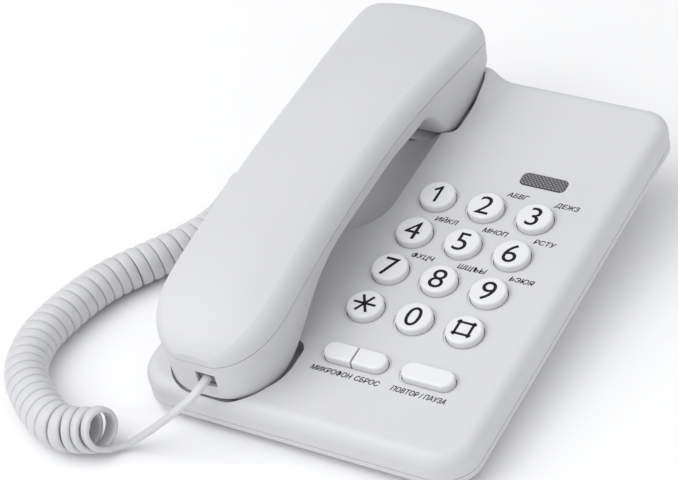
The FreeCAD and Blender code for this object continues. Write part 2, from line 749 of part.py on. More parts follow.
window = lens_prism(0.0, ROOF_N, LENS_PROUD)
window = window.makeFillet(LENS_PROUD, [e for e in window.Edges if e.BoundBox.ZMin > 0])
tray = lens_prism(KEY_FLANGE, ROOF_N - KEY_FLANGE_T, ROOF_N)
parts["ring_lens"] = fuse(window, [tray])
led_top = ROOF_N - KEY_FLANGE_T - FIT_GAP
lamp = cylinder(LENS_X, LENS_Y, BOARD_TOP_N, LED_D, led_top - BOARD_TOP_N)
lamp_rim = [e for e in lamp.Edges if e.BoundBox.ZMin > BOARD_TOP_N and e.BoundBox.ZLength < FIT_GAP]
parts["ring_lamp"] = lamp.makeFillet(LED_D / 4, lamp_rim)

# Bottom cover: pan with sloping sides and a level floor
floor_z = FOOT_PROUD


def pan(inset, top_n, level_z):
    depth = BASE_L / 4
    lip = prism(base_outline(inset, COVER_LIP_N), top_n - COVER_LIP_N)
    hull = Part.makeLoft([
        base_outline(inset, COVER_LIP_N),
        base_outline(inset + COVER_SLOPE * depth, COVER_LIP_N - depth),
    ], True, True)
    corner = V(-2 * BASE_W, -2 * BASE_L, level_z - BASE_L)
    below = to_face(Part.makeBox(4 * BASE_W, 4 * BASE_L, BASE_L, corner))
    return lip.fuse(hull).removeSplitter().cut(below)


pan_outer = pan(0.0, COVER_TOP_N, floor_z)
pan_inner = pan(COVER_WALL, COVER_TOP_N + 1, floor_z + COVER_WALL)
cover = pan_outer.cut(pan_inner)
posts = []
cuts = []
for x, y in CASE_SCREWS:
    post = cylinder(x, y, CASE_JOINT_N - BASE_L / 4, HEAD_WELL_D + 2 * COVER_WALL, BASE_L / 4)
    posts.append(post.common(pan_outer.fuse(pan_inner)))
    posts.append(cylinder(x, y, COVER_TOP_N - 2, BOSS_D, CASE_JOINT_N - COVER_TOP_N + 2))
    cuts.append(cylinder(x, y, HEAD_SEAT_N - BASE_L / 4, HEAD_WELL_D, BASE_L / 4))
    cuts.append(cylinder(x, y, HEAD_SEAT_N - 1, SCREW_HOLE_D, BASE_L / 4))
cover = cover.fuse(posts)
feet = []
for y, x in ((FOOT_FRONT_Y, FOOT_X), (FOOT_BACK_Y, FOOT_X - FOOT_D)):
    feet += [(-x, y), (x, y)]
foot_well_d = FOOT_D + 2 * SCREW_CLEARANCE
level_cuts = [cylinder(x, y, floor_z - 1, foot_well_d, FOOT_SUNK + 1) for x, y in feet]
for side in (-1, 1):
    y = KEYHOLE_Y + side * KEYHOLE_PITCH / 2
    level_cuts.append(Part.makeCylinder(KEYHOLE_HEAD_D / 2, 3 * COVER_WALL, V(KEYHOLE_X, y, floor_z - 1)))
    corner = V(KEYHOLE_X - KEYHOLE_SLOT_W / 2, y, floor_z - 1)
    level_cuts.append(Part.makeBox(KEYHOLE_SLOT_W, KEYHOLE_SLOT_L, 3 * COVER_WALL, corner))
for i in range(RINGER_HOLES):
    a = 2 * pi * i / RINGER_HOLES
    level_cuts.append(Part.makeCylinder(RINGER_HOLE_D / 2, 3 * COVER_WALL, V(
        RINGER_X + RINGER_HOLE_RING_D / 2 * cos(a), RINGER_Y + RINGER_HOLE_RING_D / 2 * sin(a), floor_z - 1)))
cover = cover.cut(cuts + [to_face(c) for c in level_cuts] + [line_cut, cord_cut])
print("cover", cover.isValid(), len(cover.Solids), round(cover.Volume))
parts["base_bottom_cover"] = cover
case_screw_l = CASE_JOINT_N - HEAD_SEAT_N + SCREW_BITE - FIT_GAP
parts["case_screws"] = Part.Compound([screw(x, y, HEAD_SEAT_N, case_screw_l) for x, y in CASE_SCREWS])
foot_names = ("foot_front_left", "foot_front_right", "foot_back_left", "foot_back_right")
for name, (x, y) in zip(foot_names, feet):
    parts[name] = to_face(Part.makeCylinder(FOOT_D / 2, FOOT_PROUD + FOOT_SUNK, V(x, y, 0)))
ringer = Part.makeCylinder(RINGER_D / 2, RINGER_H, V(RINGER_X, RINGER_Y, floor_z + COVER_WALL))
parts["ringer_buzzer"] = to_face(ringer)

# Hook lever on its pin, with its spring and switch
def hook_box(y0, y1, n0, n1):
    return box(HOOK_X - HOOK_W / 2, HOOK_X + HOOK_W / 2, y0, y1, n0, n1)


arm_n = (HOOK_PIVOT_N - HOOK_ARM_T / 2, HOOK_PIVOT_N + HOOK_ARM_T / 2)
pad_y = (HOOK_PAD_Y - HOOK_PAD_L / 2, HOOK_PAD_Y + HOOK_PAD_L / 2)
hub = Part.makeCylinder(HOOK_PIN_D, HOOK_W, V(HOOK_X - HOOK_W / 2, HOOK_PIVOT_Y, HOOK_PIVOT_N), V(1, 0, 0))
pad_n = EAR_SEAT_N - HOOK_SUNK
lever = fuse(hub, [hook_box(HOOK_PIVOT_Y, pad_y[1], *arm_n), hook_box(*pad_y, arm_n[0], pad_n)])
pin_bore = Part.makeCylinder(
    hook_bore / 2, HOOK_W + 2, V(HOOK_X - HOOK_W / 2 - 1, HOOK_PIVOT_Y, HOOK_PIVOT_N), V(1, 0, 0))
lever = lever.cut(pin_bore)
crown = [e for e in lever.Edges if e.BoundBox.ZMin > pad_n - 0.01 and e.BoundBox.XLength > HOOK_W / 2]
parts["hook_lever"] = lever.makeFillet(HOOK_ARM_T / 2, crown)
parts["hook_pin"] = Part.makeCylinder(
    HOOK_PIN_D / 2, HOOK_PIN_L, V(HOOK_X - HOOK_PIN_L / 2, HOOK_PIVOT_Y, HOOK_PIVOT_N), V(1, 0, 0))
pan_floor_z = floor_z + COVER_WALL
switch_y = (HOOK_PIVOT_Y + HOOK_PAD_Y - SWITCH_L) / 2
switch_top = world_point(0, switch_y, arm_n[0]).z - FIT_GAP
parts["hook_switch"] = to_face(Part.makeBox(
    SWITCH_W, SWITCH_L, switch_top - pan_floor_z, V(HOOK_X - SWITCH_W / 2, switch_y, pan_floor_z)))
spring_y = HOOK_PAD_Y
spring_top = world_point(0, spring_y - HOOK_SPRING_D / 2, arm_n[0]).z - FIT_GAP
spring_h = spring_top - pan_floor_z - HOOK_SPRING_WIRE
coil_r = (HOOK_SPRING_D - HOOK_SPRING_WIRE) / 2
helix = Part.makeHelix(spring_h / HOOK_SPRING_TURNS, spring_h, coil_r)
start = V(coil_r, 0, 0)
ring = Part.Wire(Part.makeCircle(HOOK_SPRING_WIRE / 2, start, V(0, 1, 0)))
spring = Part.Wire(helix).makePipeShell([ring], True, True)
spring.translate(V(HOOK_X, spring_y, pan_floor_z + HOOK_SPRING_WIRE / 2))
parts["hook_spring"] = to_face(spring)

# Sockets in the base: telephone line at the back, handset cord on the left
jack_in_y = wall_y - SHELL_WALL
line_body = box(
    line_mouth[0] - JACK_WALL, line_mouth[1] + JACK_WALL,
    jack_in_y - LINE_MOUTH_DEPTH - JACK_WALL, jack_in_y,
    line_mouth_n[0] - JACK_WALL, min(line_mouth_n[1] + JACK_WALL, ROOF_N - FIT_GAP),
)
line_hole = box(*line_mouth, jack_in_y - LINE_MOUTH_DEPTH, jack_in_y + 1, *line_mouth_n)
parts["line_jack"] = line_body.cut(line_hole)
jack_in_x = wall_x + SHELL_WALL
cord_body = box(
    jack_in_x, jack_in_x + CORD_MOUTH_DEPTH + JACK_WALL,
    cord_mouth_y[0] - JACK_WALL, cord_mouth_y[1] + JACK_WALL,
    cord_mouth_n[0] - JACK_WALL, min(cord_mouth_n[1] + JACK_WALL, ROOF_N - FIT_GAP),
)
cord_hole = box(jack_in_x - 1, jack_in_x + CORD_MOUTH_DEPTH, *cord_mouth_y, *cord_mouth_n)
parts["base_cord_jack"] = cord_body.cut(cord_hole)


# Slide switches on the back wall
def slide_switch(name, x):
    rest_x = x - SWITCH_THROW / 2
    plate_l = SWITCH_KNOB_L + 4.0
    half_n = SWITCH_SLOT_H / 2
    knob = box(
        rest_x - SWITCH_KNOB_L / 2, rest_x + SWITCH_KNOB_L / 2,
        jack_in_y - FIT_GAP - 1, wall_y + SWITCH_KNOB_PROUD,
        JACK_N - half_n + FIT_GAP, JACK_N + half_n - FIT_GAP,
    )
    plate_y = (jack_in_y - FIT_GAP - 1.2, jack_in_y - FIT_GAP)
    plate = box(rest_x - plate_l / 2, rest_x + plate_l / 2, *plate_y, JACK_N - half_n, JACK_N + half_n)
    parts[name + "_knob"] = fuse(knob, [plate])
    room = (plate_l + SWITCH_THROW) / 2 + FIT_GAP
    body = box(
        x - room - SWITCH_WALL, x + room + SWITCH_WALL, jack_in_y - SWITCH_BODY_L, jack_in_y,
        JACK_N - half_n - SWITCH_WALL, JACK_N + half_n + SWITCH_WALL)
    slot = box(
        x - room, x + room, plate_y[0] - FIT_GAP, jack_in_y + 1,
        JACK_N - half_n - FIT_GAP, JACK_N + half_n + FIT_GAP,
    )
    parts[name + "_body"] = body.cut(slot)


slide_switch("volume_switch", VOLUME_X)
slide_switch("tone_switch", TONE_X)

# Handset shells with bosses, seats, sound holes and the cord notch
upper_outer = upper_body(0.0, PARTING_GAP / 2)
upper_inner = upper_body(HANDSET_WALL, -PARTING_GAP)
lower_outer = lower_body(0.0, PARTING_GAP / 2)
lower_inner = lower_body(HANDSET_WALL, -PARTING_GAP)
upper_posts = []
lower_posts = []
upper_cuts = []
lower_cuts = []
handset_screws = []
for y in HANDSET_SCREW_Y:
    joint = parting_n(y)
    seat = bottom_n(y, 0.0) + HANDSET_WALL + SCREW_HEAD_T
    boss = cylinder(HANDSET_X, y, joint + PARTING_GAP / 2, BOSS_D, DOME_MIC_H)
    upper_posts.append(boss.common(upper_outer))
    low = seat - 2 * SCREW_HEAD_T
    post = cylinder(HANDSET_X, y, low, HEAD_WELL_D + 2 * HANDSET_WALL, joint - PARTING_GAP / 2 - low)
    lower_posts.append(post.common(lower_outer))
    upper_cuts.append(cylinder(HANDSET_X, y, joint - 1, SCREW_HOLE_D, SCREW_BITE + 1))
    lower_cuts.append(cylinder(HANDSET_X, y, seat - BASE_W / 4, HEAD_WELL_D, BASE_W / 4))
    lower_cuts.append(cylinder(HANDSET_X, y, seat - 1, SCREW_HOLE_D, BASE_W / 4))
    handset_screws.append(screw(HANDSET_X, y, seat, joint - seat + SCREW_BITE - FIT_GAP))
parts["handset_screws"] = Part.Compound(handset_screws)


def seat_n(y, d):
    """Height at which a round capsule clears the sloping floor under it."""
    steps = 8
    return max(bottom_n(y + d / 2 * (2 * i / steps - 1), HANDSET_WALL) for i in range(steps + 1)) + FIT_GAP


receiver_n = seat_n(RECEIVER_Y, RECEIVER_D)
mic_n = seat_n(MIC_Y, MIC_D + 2 * MIC_CUP_WALL)
for y, d, n in ((RECEIVER_Y, RECEIVER_D, receiver_n), (MIC_Y, MIC_D + 2 * MIC_CUP_WALL, mic_n)):
    low = EAR_BLOCK_N + MIC_BLOCK_N
    tube = cylinder(HANDSET_X, y, low, d, n - low)
    tube = tube.cut(cylinder(HANDSET_X, y, low, d - 2 * HANDSET_WALL, n - low))
    lower_posts.append(tube.common(lower_outer))
for i in range(EAR_HOLES):
    a = 2 * pi * i / EAR_HOLES
    lower_cuts.append(cylinder(
        HANDSET_X + EAR_HOLE_RING_D / 2 * cos(a), RECEIVER_Y + EAR_HOLE_RING_D / 2 * sin(a),
        -BASE_W / 4, EAR_HOLE_D, BASE_W / 4 + receiver_n - FIT_GAP))
lower_cuts.append(cylinder(HANDSET_X, RECEIVER_Y, -BASE_W / 4, EAR_HOLE_D, BASE_W / 4 + receiver_n - FIT_GAP))
lower_cuts.append(cylinder(HANDSET_X, MIC_Y, -BASE_W / 4, MIC_HOLE_D, BASE_W / 4 + mic_n))
notch_n = (NOTCH_N - CORD_MOUTH_H / 2, NOTCH_N + CORD_MOUTH_H / 2)
notch_x = (NOTCH_X - CORD_MOUTH_W / 2, NOTCH_X + CORD_MOUTH_W / 2)
notch = box(*notch_x, HANDSET_MIC_Y - 1, HANDSET_MIC_Y + 2 * HANDSET_WALL, *notch_n)
lower_cuts.append(notch)
parts["handset_upper_shell"] = upper_outer.cut(upper_inner).fuse(upper_posts).cut(upper_cuts)
parts["handset_lower_shell"] = lower_outer.cut(lower_inner).fuse(lower_posts).cut(lower_cuts)
parts["receiver_capsule"] = cylinder(HANDSET_X, RECEIVER_Y, receiver_n, RECEIVER_D, RECEIVER_H)
parts["microphone"] = cylinder(HANDSET_X, MIC_Y, mic_n, MIC_D, MIC_H)
cup = cylinder(HANDSET_X, MIC_Y, mic_n, MIC_D + 2 * MIC_CUP_WALL, MIC_H)
cup_bore_d = MIC_D + 2 * SCREW_CLEARANCE
parts["microphone_cup"] = cup.cut(cylinder(HANDSET_X, MIC_Y, mic_n - 1, cup_bore_d, MIC_H + 2))
weight_n = parting_n(HANDSET_MID_Y) - GRIP_DEPTH + HANDSET_WALL + FIT_GAP
weight_y = (sum(HANDSET_SCREW_Y) - WEIGHT_L) / 2
parts["handset_weight"] = box(
    HANDSET_X - WEIGHT_W / 2, HANDSET_X + WEIGHT_W / 2,
    weight_y, weight_y + WEIGHT_L, weight_n, weight_n + WEIGHT_T)
jack_y = HANDSET_MIC_Y + HANDSET_WALL
mouth_end = jack_y + CORD_MOUTH_DEPTH
socket = box(
    notch_x[0] - JACK_WALL, notch_x[1] + JACK_WALL, jack_y, mouth_end + JACK_WALL,
    notch_n[0] - JACK_WALL, notch_n[1] + JACK_WALL,
).common(lower_inner)
parts["handset_jack"] = socket.cut(box(*notch_x, jack_y - 1, mouth_end, *notch_n))

# Modular plugs on both ends of the cord
def plug_solid(length):
    """Plug along +x from its front end at x = 0, centred on y and n."""
    half_w = CORD_MOUTH_W / 2 - FIT_GAP
    half_h = CORD_MOUTH_H / 2 - FIT_GAP
    body = box(0, length, -half_w, half_w, -half_h, half_h)
    return body.makeChamfer(PLUG_CHAMFER, [e for e in body.Edges if e.BoundBox.XMax < 0.01])


handset_plug = plug_solid(mouth_end - HANDSET_MIC_Y - FIT_GAP - NOTCH_SUNK)
handset_plug.rotate(V(0, 0, 0), V(0, 0, 1), -90)
handset_plug.translate(V(NOTCH_X, mouth_end - FIT_GAP, NOTCH_N))
parts["handset_plug"] = handset_plug
base_plug = plug_solid(CORD_MOUTH_DEPTH + SHELL_WALL - FIT_GAP + PLUG_PROUD)
base_plug.rotate(V(0, 0, 0), V(0, 0, 1), 180)
base_plug.translate(V(jack_in_x + CORD_MOUTH_DEPTH - FIT_GAP, CORD_JACK_Y, JACK_N))
parts["base_plug"] = base_plug

# The origin lies under the middle of the base and handset, front to back
world = {name: to_world(shape) for name, shape in parts.items()}
hulls = ("base_top_shell", "base_bottom_cover", "handset_upper_shell", "handset_lower_shell")
spans = [world[name].optimalBoundingBox(False) for name in hulls]
origin_y = (min(b.YMin for b in spans) + max(b.YMax for b in spans)) / 2
for placed in world.values():
    placed.translate(V(0, -origin_y, 0))


def final_point(x, y, n):
    return world_point(x, y, n) - V(0, origin_y, 0)


# Curly cord: the axis of the curls is a smooth curve over these points, on the table
CURL_AXIS = [
    V(-91.0, 27.0, 7.9),
    V(-92.0, 14.0, 7.9),
    V(-95.5, -3.0, 7.9),
    V(-100.0, -20.0, 7.9),
    V(-107.5, -37.0, 7.9),
    V(-115.5, -54.0, 7.9),
    V(-120.5, -74.0, 7.9),
    V(-118.5, -95.0, 7.9),
    V(-106.0, -112.0, 7.9),
    V(-89.0, -119.5, 7.9),
    V(-69.5, -117.5, 8.0),
]


def route_curve(points):
    """Smooth curve of degree two that starts and ends on its end points."""
    spans_count = len(points) - 2
    curve = Part.BSplineCurve()
    mults = [3] + [1] * (spans_count - 1) + [3]
    curve.buildFromPolesMultsKnots(points, mults, list(range(spans_count + 1)), False, 2)
    return curve


axis = route_curve(CURL_AXIS)
axis_length = axis.length()
FIRST_PHASE = pi / 2
LAST_PHASE = radians(-110)
CURL_COUNT = round(axis_length / CURL_PITCH) + (LAST_PHASE - FIRST_PHASE) / (2 * pi)


def curl_point(turn):
    """Point on the wire's middle line after this many curls."""
    share = turn / CURL_COUNT
    u = axis.parameterAtDistance(axis_length * share, axis.FirstParameter)
    middle = axis.value(u)
    along = V(*axis.tangent(u)[0])
    side = V(0, 0, 1).cross(along).normalize()
    lean = radians(CURL_END_LEAN) * smooth(1 - (CURL_COUNT - turn) / CURL_END_TURNS)
    up = (along * cos(lean) + V(0, 0, sin(lean))).cross(side).normalize()
    r = (CURL_D_BASE + (CURL_D_HANDSET - CURL_D_BASE) * share - WIRE_D) / 2
    a = FIRST_PHASE + 2 * pi * turn
    return middle + side * (r * cos(a)) + up * (r * sin(a))


def curl_tangent(turn):
    step = 0.001
    low = max(turn - step, 0.0)
    high = min(turn + step, CURL_COUNT)
    return (curl_point(high) - curl_point(low)).normalize()


def tangent_arc(start, direction, end):
    """Arc that leaves start along direction and reaches end."""
    chord = end - start
    sweep = acos(min(1.0, direction.dot(chord) / chord.Length))
    across = (direction - chord * (direction.dot(chord) / chord.Length ** 2)).normalize()
    mid = (start + end) * 0.5 + across * (chord.Length / 2 * tan(sweep / 2))
    return Part.Arc(start, mid, end)


def biarc(p0, t0, p1, t1):
    """Two arcs that join end to end without a kink."""
    v = p1 - p0
    t = t0 + t1
    a = 2 * (1 - t0.dot(t1))
    d = (-v.dot(t) + sqrt(v.dot(t) ** 2 + a * v.dot(v))) / a
    joint = (p0 + p1 + (t0 - t1) * d) * 0.5
    return [tangent_arc(p0, t0, joint), tangent_arc(p1, t1 * -1, joint)]


def wire_tube(edges, start, direction):
    path = Part.Wire(Part.__sortEdges__([e.toShape() for e in edges]))
    ring = Part.Wire(Part.makeCircle(WIRE_D / 2, start, direction))
    shell = Part.BRepOffsetAPI.MakePipeShell(path)
    shell.add(ring)
    shell.build()
    shell.makeSolid()
    return shell.shape(), path.Length


half_turns = ceil(CURL_COUNT * 2)
curl_edges = []
knots = [CURL_COUNT * i / half_turns for i in range(half_turns + 1)]
first = curl_point(0.0)
first_dir = curl_tangent(0.0)
last = curl_point(CURL_COUNT)
last_dir = curl_tangent(CURL_COUNT)
coil_start = first - first_dir * WIRE_D
coil_end = last + last_dir * WIRE_D
curl_edges.append(Part.LineSegment(coil_start, first))
for a, b in zip(knots, knots[1:]):
    curl_edges += biarc(curl_point(a), curl_tangent(a), curl_point(b), curl_tangent(b))
curl_edges.append(Part.LineSegment(last, coil_end))
coil, coil_length = wire_tube(curl_edges, coil_start, first_dir)
wire_area = pi * WIRE_D ** 2 / 4
print("coil", coil.isValid(), coil.Volume, wire_area * coil_length, "wire", coil_length)


def least_gap():
    """Least gap between a curl and the next two, measured on points of the middle line."""
    per_turn = 24
    points = [curl_point(i / per_turn) for i in range(int(CURL_COUNT * per_turn) + 1)]
    gaps = []
    for i, p in enumerate(points):
        for q in points[i + per_turn // 2:i + 2 * per_turn]:
            gaps.append(p.distanceToPoint(q))
    return min(gaps) - WIRE_D


print("least gap between curls", round(least_gap(), 2))
world["curly_cord_coil"] = coil

# Straight tails of the cord, from the plugs to the curls
base_exit = final_point(wall_x - PLUG_PROUD, CORD_JACK_Y, JACK_N)
handset_exit = final_point(NOTCH_X, HANDSET_MIC_Y + NOTCH_SUNK, NOTCH_N)
BASE_TAIL = [
    base_exit,
    base_exit - V(TAIL_EXIT_L, 0.0, 0.0),
    V(-80.0, -11.5, 17.2),
    V(-77.5, -1.0, 15.8),
    V(-73.5, 8.5, 14.7),
    V(-72.5, 18.0, 14.0),
    V(-77.0, 25.5, 13.6),
    coil_start - first_dir * TAIL_START_L,
    coil_start,
]
HANDSET_TAIL = [
    coil_end,
    coil_end + last_dir * TAIL_START_L,
    V(-62.0, -110.6, 1.9),
    V(-56.5, -109.4, 5.2),
    V(-49.5, -107.4, 10.6),
    V(-42.5, -105.2, 17.0),
    V(-36.5, -103.0, 22.8),
    handset_exit - world_vector(0.0, TAIL_EXIT_L, 0.0),
    handset_exit,
]


def tail_edges(name, points):
    """Straight runs joined by arcs as large as the runs allow."""
    edges = []
    here = points[0]
    radii = []
    for before, corner, after in zip(points, points[1:], points[2:]):
        into = (corner - before).normalize()
        out = (after - corner).normalize()
        turn = acos(max(-1.0, min(1.0, into.dot(out))))
        cut = BEND_SHARE * min((corner - before).Length, (after - corner).Length)
        radii.append(round(cut / tan(turn / 2), 1))
        start = corner - into * cut
        end = corner + out * cut
        edges.append(Part.LineSegment(here, start))
        edges.append(tangent_arc(start, into, end))
        here = end
    edges.append(Part.LineSegment(here, points[-1]))
    print(name, "radii", radii)
    return edges


for name, points in (("cord_tail_base", BASE_TAIL), ("cord_tail_handset", HANDSET_TAIL)):
    tube, length = wire_tube(tail_edges(name, points), points[0], points[1] - points[0])
    print(name, tube.isValid(), tube.Volume, wire_area * length, "length", round(length, 1))
    world[name] = tube

os.makedirs("parts", exist_ok=True)
for name, placed in world.items():
    if not placed.isValid() or len(placed.Solids) != 1:
        print("CHECK", name, placed.isValid(), len(placed.Solids), round(placed.Volume))
    placed.exportStep("parts/" + name + ".step")
print("nodes", len(world), "origin_y", round(origin_y, 3))
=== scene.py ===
# %% [markdown]
# # A corded desk telephone
# The phone is a low wedge of light grey plastic with a keypad, a handset lying along its left
# side, and a curly cord that runs from a socket in the left wall to the end of the handset.
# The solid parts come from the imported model. This script gives them their finishes, prints the
# digits and letters, and winds the curly cord. All lengths are in metres.

from math import cos, pi, radians, sin

import bpy
from mathutils import Matrix, Vector


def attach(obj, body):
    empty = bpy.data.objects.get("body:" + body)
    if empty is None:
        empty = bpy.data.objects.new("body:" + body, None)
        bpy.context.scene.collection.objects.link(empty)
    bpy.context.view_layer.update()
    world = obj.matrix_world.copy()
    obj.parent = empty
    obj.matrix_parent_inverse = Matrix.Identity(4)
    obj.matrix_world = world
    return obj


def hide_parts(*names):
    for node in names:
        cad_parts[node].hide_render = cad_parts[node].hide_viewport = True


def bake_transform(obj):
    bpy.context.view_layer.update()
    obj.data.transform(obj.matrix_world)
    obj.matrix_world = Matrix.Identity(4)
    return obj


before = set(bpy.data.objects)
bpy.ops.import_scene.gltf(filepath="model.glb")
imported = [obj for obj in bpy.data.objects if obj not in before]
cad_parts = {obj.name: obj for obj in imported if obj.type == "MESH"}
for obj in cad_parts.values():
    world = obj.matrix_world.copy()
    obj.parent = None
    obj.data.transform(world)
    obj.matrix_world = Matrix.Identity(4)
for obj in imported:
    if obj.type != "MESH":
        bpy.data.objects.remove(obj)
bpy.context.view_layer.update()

# %% [markdown]
# ## The camera
# The photograph was taken with a long lens from the right front, well above the keypad, and
# slightly rolled. A camera is a point and three directions, so these are given as they are: where
# it stands, what is right in the picture and what lies behind the camera; up follows from these
# two. A long lens keeps the edges of the base nearly parallel.

# %% Camera
CAMERA_PLACE = (0.4086, -0.6214, 0.6251)
LENS_MM = 138.05
SENSOR_MM = 36.0

bpy.ops.object.select_all(action="DESELECT")
camera_right = Vector((0.8662, 0.4806, -0.1365)).normalized()
camera_back = Vector((0.4522, -0.6381, 0.6231)).normalized()
camera_up = camera_back.cross(camera_right)
bpy.ops.object.camera_add(location=CAMERA_PLACE)
camera = bpy.context.object
camera.name = "camera"
camera.rotation_euler = Matrix((camera_right, camera_up, camera_back)).transposed().to_euler()
camera.data.lens = LENS_MM
camera.data.sensor_width = SENSOR_MM
bpy.context.scene.camera = camera
print("camera at", tuple(camera.location))

# %% [markdown]
# ## Floor and light
# The phone stands on a wide white floor. A wide soft light from above the front left falls on the
# dome of the handset, and leaves the right side of the handset and the hollow under it in a soft
# grey. A weak light from the right keeps those from going dark, and a wide one overhead evens out
# the face.

# %% Floor and light
FLOOR_SIZE = 6.0
SKY_COLOUR = (0.97, 0.98, 1.0, 1)
SKY_STRENGTH = 0.54

bpy.ops.mesh.primitive_plane_add(size=FLOOR_SIZE, location=(0, 0, 0))
floor = bpy.context.object
floor.name = "floor"


def soft_light(name, place, size, power):
    """A square lamp that faces the middle of the phone."""
    bpy.ops.object.light_add(type="AREA", location=place)
    light = bpy.context.object
    light.name = name
    light.data.size = size
    light.data.energy = power
    light.rotation_euler = (-Vector(place)).to_track_quat("-Z", "Y").to_euler()


soft_light("window_left", (-0.65, -0.65, 1.2), 1.6, 16.0)
soft_light("overhead", (0.1, 0.5, 1.5), 2.0, 5.5)
soft_light("fill_right", (1.1, -0.7, 0.6), 0.8, 2.2)

sky = bpy.data.worlds.new("studio")
bpy.context.scene.world = sky
sky.use_nodes = True
background = sky.node_tree.nodes["Background"]
background.inputs["Color"].default_value = SKY_COLOUR
background.inputs["Strength"].default_value = SKY_STRENGTH
bpy.context.scene.view_settings.view_transform = "Standard"
print("lights:", len(bpy.data.lights), "and a sky of strength", SKY_STRENGTH)

# %% [markdown]
# ## The route of the curly cord
# A curly cord is one long flat lead, wound into curls. Its curls lie on the table along a loose
# sweep, so the sweep is drawn first as a smooth spline over a few points, and two short splines
# give the straight tails that run from the curls to the plugs. The points follow the photograph,
# and the sweep stays within seven millimetres of the solid model's. Blender turns each spline into
# a fine line of points, and the curls are wound on that.

# %% Splines of the route
CURL_AXIS = [
    (-0.0910, 0.0270, 0.0077), (-0.0890, 0.0140, 0.0077), (-0.0895, 0.0020, 0.0077),
    (-0.0945, -0.0110, 0.0078), (-0.1030, -0.0250, 0.0078), (-0.1125, -0.0400, 0.0079),
    (-0.1170, -0.0560, 0.0080), (-0.1192, -0.0730, 0.0082), (-0.1176, -0.0860, 0.0083),
    (-0.1120, -0.0985, 0.0084), (-0.0990, -0.1095, 0.0086), (-0.0870, -0.1165, 0.0088),
    (-0.0760, -0.1175, 0.0092), (-0.0658, -0.1134, 0.0105),
]
BASE_TAIL = [
    (-0.0695, -0.0203, 0.0186), (-0.0775, -0.0203, 0.0186), (-0.0800, -0.0115, 0.0172),
    (-0.0775, -0.0010, 0.0158), (-0.0735, 0.0085, 0.0147), (-0.0725, 0.0180, 0.0140),
    (-0.0770, 0.0255, 0.0136), (-0.0847, 0.0273, 0.0136), (-0.0887, 0.0271, 0.0136),
]
HANDSET_TAIL = [
    (-0.0646, -0.1165, 0.0035), (-0.0633, -0.1129, 0.0022), (-0.0600, -0.1110, 0.0024),
    (-0.0565, -0.1098, 0.0050), (-0.0495, -0.1074, 0.0106), (-0.0425, -0.1052, 0.0170),
    (-0.0365, -0.1030, 0.0228), (-0.0322, -0.1001, 0.0269), (-0.0322, -0.0921, 0.0278),
]
SPLINE_ORDER = 3
AXIS_FINENESS = 64
TAIL_FINENESS = 12


def spline_points(name, points, fineness):
    """Fine points along a smooth spline over these control points."""
    curve = bpy.data.curves.new(name, "CURVE")
    curve.dimensions = "3D"
    curve.resolution_u = fineness
    spline = curve.splines.new("NURBS")
    spline.points.add(len(points) - 1)
    for control, place in zip(spline.points, points):
        control.co = (*place, 1.0)
    spline.order_u = SPLINE_ORDER
    spline.use_endpoint_u = True
    holder = bpy.data.objects.new(name, curve)
    bpy.context.collection.objects.link(holder)
    bpy.context.view_layer.update()
    evaluated = holder.evaluated_get(bpy.context.evaluated_depsgraph_get())
    line = bpy.data.meshes.new_from_object(evaluated)
    places = [v.co.copy() for v in line.vertices]
    bpy.data.objects.remove(holder)
    bpy.data.meshes.remove(line)
    return places


def distances(places):
    """Distance of each point along the line."""
    along = [0.0]
    for a, b in zip(places, places[1:]):
        along.append(along[-1] + (b - a).length)
    return along


axis_line = spline_points("curl_axis", CURL_AXIS, AXIS_FINENESS)
base_tail = spline_points("base_tail", BASE_TAIL, TAIL_FINENESS)
handset_tail = spline_points("handset_tail", HANDSET_TAIL, TAIL_FINENESS)
axis_at = distances(axis_line)
print("sweep of the curls:", round(axis_at[-1], 4), "m")

# %% [markdown]
# ## Winding the curls
# Each curl is one turn of a helix round the sweep, and the helix grows a little wider towards the
# handset. The lead is a flat band that was wound with its broad side out, so its section is a
# rounded strip whose broad side lies along the sweep. Where the sweep bends, the curls close up on
# the inside, so at each point the strip is as broad as the room to the nearest curl beside it, less
# a hair. The last curls turn out of the row, because the tail pulls their ring round.

# %% Helix
CURL_PITCH = 0.0046
WIRE_D = 0.0023
CURL_W_BASE = 0.0148
CURL_W_HANDSET = 0.0172
FIRST_PHASE = pi / 2
LAST_PHASE = radians(-110)
END_FACE = Vector((0.93, -0.25, 0.27)).normalized()
END_TURNS = 3.5
STEPS_PER_CURL = 36
CURL_GAP = 0.00006


def eased(share):
    """A share from 0 to 1 with a soft start and a soft end."""
    return share ** 2 * (3 - 2 * share)


r_base = (CURL_W_BASE - WIRE_D) / 2
r_handset = (CURL_W_HANDSET - WIRE_D) / 2
curl_count = round(axis_at[-1] / CURL_PITCH) + (LAST_PHASE - FIRST_PHASE) / (2 * pi)
steps = round(curl_count * STEPS_PER_CURL)
curls, sweeps = [], []
cell = 0
for i in range(steps + 1):
    share = i / steps
    target = axis_at[-1] * share
    while cell < len(axis_at) - 2 and axis_at[cell + 1] < target:
        cell += 1
    t = (target - axis_at[cell]) / (axis_at[cell + 1] - axis_at[cell])
    middle = axis_line[cell].lerp(axis_line[cell + 1], t)
    along = (axis_line[cell + 1] - axis_line[cell]).normalized()
    near_end = max(0.0, 1 - curl_count * (1 - share) / END_TURNS)
    along = along.lerp(END_FACE, eased(near_end)).normalized()
    side = Vector((0, 0, 1)).cross(along).normalized()
    up = along.cross(side)
    r = r_base + (r_handset - r_base) * share
    a = FIRST_PHASE + 2 * pi * curl_count * share
    curls.append(middle + side * (r * cos(a)) + up * (r * sin(a)))
    sweeps.append(along)

